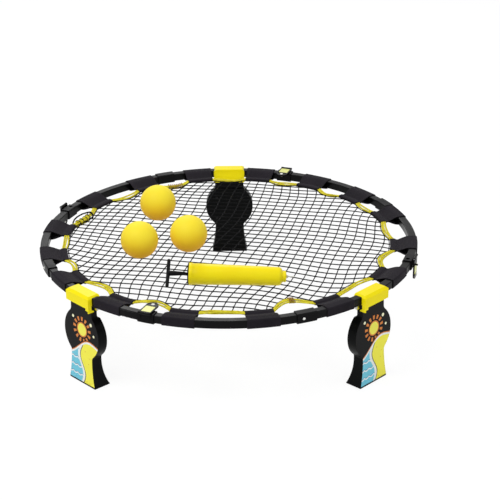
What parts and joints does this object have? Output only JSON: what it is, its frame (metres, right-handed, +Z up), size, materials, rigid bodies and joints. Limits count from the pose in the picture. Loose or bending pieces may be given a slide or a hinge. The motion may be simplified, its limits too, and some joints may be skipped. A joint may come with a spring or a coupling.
{
  "type": "roundnet game set",
  "caption": "Low round rebound net in a take-apart square-tube rim on folding legs, with latches, fabric tabs, balls and a hand pump",
  "frame": {"origin": "on the ground, under the middle of the rim", "axes": "+Z up, square to the net; +Y points to the rear leg; +X to the right seen from the front, where the two front legs stand"},
  "size_m": [0.9023, 0.9102, 0.306],
  "materials": {
    "rim_black": "satin",
    "sleeve_black": "satin",
    "button_white": "gloss",
    "lever_black": "gloss",
    "steel": "satin",
    "tab_fabric": "matte",
    "cord_yellow": "matte",
    "net_black": "matte",
    "clamp_yellow": "gloss",
    "pin_white": "gloss",
    "leg_black": "satin",
    "pad_rubber": "matte",
    "ball_yellow": "satin",
    "pump_yellow": "gloss",
    "pump_black": "gloss",
    "needle": "polished",
    "piston_white": "matte"
  },
  "bodies": {
    "rim": {"rim_arc_1": "rim_black", "rim_arc_2": "rim_black", "rim_arc_3": "rim_black", "rim_arc_4": "rim_black", "rim_arc_5": "rim_black", "rim_arc_6": "rim_black", "rim_arc_7": "rim_black", "rim_arc_8": "rim_black", "sleeve_1": "sleeve_black", "sleeve_2": "sleeve_black", "sleeve_3": "sleeve_black", "sleeve_4": "sleeve_black", "latch_sleeve_1": "sleeve_black", "latch_sleeve_2": "sleeve_black", "latch_sleeve_3": "sleeve_black", "latch_sleeve_4": "sleeve_black", "latch_pins": "steel", "tabs_back": "tab_fabric", "tabs_right": "tab_fabric", "tabs_front": "tab_fabric", "tabs_left": "tab_fabric", "edge_cord": "cord_yellow", "net": "net_black", "clamp_back": "clamp_yellow", "clamp_left": "clamp_yellow", "clamp_right": "clamp_yellow", "leg_hinge_pins": "pin_white"},
    "leg_back": {"leg_shell_back": "leg_black", "leg_cover_back": "leg_black", "leg_screws_back": "steel", "foot_pad_back": "pad_rubber"},
    "leg_left": {"leg_shell_left": "leg_black", "leg_cover_left": "leg_black", "leg_screws_left": "steel", "foot_pad_left": "pad_rubber"},
    "leg_right": {"leg_shell_right": "leg_black", "leg_cover_right": "leg_black", "leg_screws_right": "steel", "foot_pad_right": "pad_rubber"},
    "latch_1": {"latch_lever_1": "lever_black"},
    "latch_2": {"latch_lever_2": "lever_black"},
    "latch_3": {"latch_lever_3": "lever_black"},
    "latch_4": {"latch_lever_4": "lever_black"},
    "button_1": {"snap_button_1": "button_white"},
    "button_2": {"snap_button_2": "button_white"},
    "button_3": {"snap_button_3": "button_white"},
    "button_4": {"snap_button_4": "button_white"},
    "ball_1_body": {"ball_1": "ball_yellow"},
    "ball_2_body": {"ball_2": "ball_yellow"},
    "ball_3_body": {"ball_3": "ball_yellow"},
    "pump": {"pump_barrel": "pump_yellow", "pump_end_cap": "pump_black", "pump_needle": "needle"},
    "plunger": {"pump_rod": "pump_black", "pump_piston": "piston_white", "pump_seal": "pad_rubber", "pump_handle": "pump_black"}
  },
  "joints": [
    {"name": "leg_back_fold", "type": "hinge", "parent": "rim", "child": "leg_back", "pos_m": [-0.00379, 0.43398, 0.197], "axis": [-1, -0.0087, 0], "range_deg": [0, 86]},
    {"name": "leg_left_fold", "type": "hinge", "parent": "rim", "child": "leg_left", "pos_m": [-0.31637, -0.29709, 0.197], "axis": [0.6845, -0.729, 0], "range_deg": [0, 86]},
    {"name": "leg_right_fold", "type": "hinge", "parent": "rim", "child": "leg_right", "pos_m": [0.31585, -0.29764, 0.197], "axis": [0.6858, 0.7278, 0], "range_deg": [0, 86]},
    {"name": "latch_1_swing", "type": "hinge", "parent": "rim", "child": "latch_1", "pos_m": [0.14833, 0.43078, 0.231], "axis": [-0.9455, 0.3256, 0], "range_deg": [0, 270]},
    {"name": "latch_2_swing", "type": "hinge", "parent": "rim", "child": "latch_2", "pos_m": [-0.41621, 0.18531, 0.231], "axis": [-0.4067, -0.9135, 0], "range_deg": [-270, 0]},
    {"name": "latch_3_swing", "type": "hinge", "parent": "rim", "child": "latch_3", "pos_m": [-0.17802, -0.41938, 0.231], "axis": [0.9205, -0.3907, 0], "range_deg": [0, 270]},
    {"name": "latch_4_swing", "type": "hinge", "parent": "rim", "child": "latch_4", "pos_m": [0.43569, -0.1332, 0.231], "axis": [0.2924, 0.9563, 0], "range_deg": [-270, 0]},
    {"name": "button_1_press", "type": "slide", "parent": "rim", "child": "button_1", "axis": [-0.8913, -0.4534, 0], "range_m": [0, 0.004], "stiffness_N_per_m": 400},
    {"name": "button_2_press", "type": "slide", "parent": "rim", "child": "button_2", "axis": [0.3739, -0.9274, 0], "range_m": [0, 0.004], "stiffness_N_per_m": 400},
    {"name": "button_3_press", "type": "slide", "parent": "rim", "child": "button_3", "axis": [0.9429, 0.3331, 0], "range_m": [0, 0.004], "stiffness_N_per_m": 400},
    {"name": "button_4_press", "type": "slide", "parent": "rim", "child": "button_4", "axis": [-0.3739, 0.9274, 0], "range_m": [0, 0.004], "stiffness_N_per_m": 400},
    {"name": "ball_1_lift", "type": "slide", "parent": "rim", "child": "ball_1_body", "axis": [0, 0, 1], "range_m": [0, 0.15]},
    {"name": "ball_2_lift", "type": "slide", "parent": "rim", "child": "ball_2_body", "axis": [0, 0, 1], "range_m": [0, 0.15]},
    {"name": "ball_3_lift", "type": "slide", "parent": "rim", "child": "ball_3_body", "axis": [0, 0, 1], "range_m": [0, 0.15]},
    {"name": "pump_lift", "type": "slide", "parent": "rim", "child": "pump", "axis": [0, 0, 1], "range_m": [0, 0.12]},
    {"name": "plunger_pull", "type": "slide", "parent": "pump", "child": "plunger", "axis": [-0.9992, 0.0349, 0.02], "range_m": [0, 0.12]}
  ]
}
